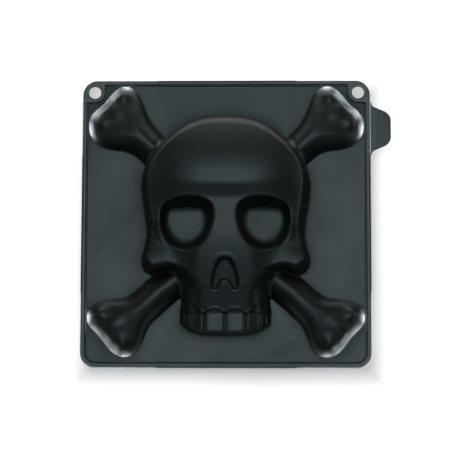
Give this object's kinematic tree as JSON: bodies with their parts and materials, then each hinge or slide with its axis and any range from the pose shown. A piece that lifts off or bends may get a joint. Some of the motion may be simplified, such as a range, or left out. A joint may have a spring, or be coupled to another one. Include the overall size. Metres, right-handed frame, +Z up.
{
  "type": "silicone cake mould",
  "caption": "Square flexible cake mould lying upside down on its flange, with a hollow skull and crossbones relief, a rim bead, hanging eyelets and a pull tab.",
  "frame": {"origin": "on the surface that the mould lies on, under the middle of the whole part's box", "axes": "+Z up through the relief, +Y towards the skull's crown, +X towards the pull tab"},
  "size_m": [0.2462, 0.23, 0.046],
  "materials": {
    "silicone": "satin"
  },
  "bodies": {
    "mould": {"flange_top": "silicone", "flange_right": "silicone", "flange_bottom": "silicone", "flange_left": "silicone", "rim_bead": "silicone", "hanging_eyelet_left": "silicone", "hanging_eyelet_right": "silicone", "cranium_shell": "silicone", "face_shell": "silicone", "jaw_shell": "silicone", "eye_cup_left": "silicone", "eye_cup_right": "silicone", "nose_cup": "silicone", "upper_bone_left": "silicone", "upper_bone_right": "silicone", "lower_bone_left": "silicone", "lower_bone_right": "silicone"},
    "pull_tab": {"pull_tab": "silicone"}
  },
  "joints": [
    {"name": "tab_flex", "type": "hinge", "parent": "mould", "child": "pull_tab", "pos_m": [0.10825, 0.076, 0.0015], "axis": [0, -1, 0], "range_deg": [-75, 75], "stiffness_Nm_per_rad": 0.015}
  ]
}
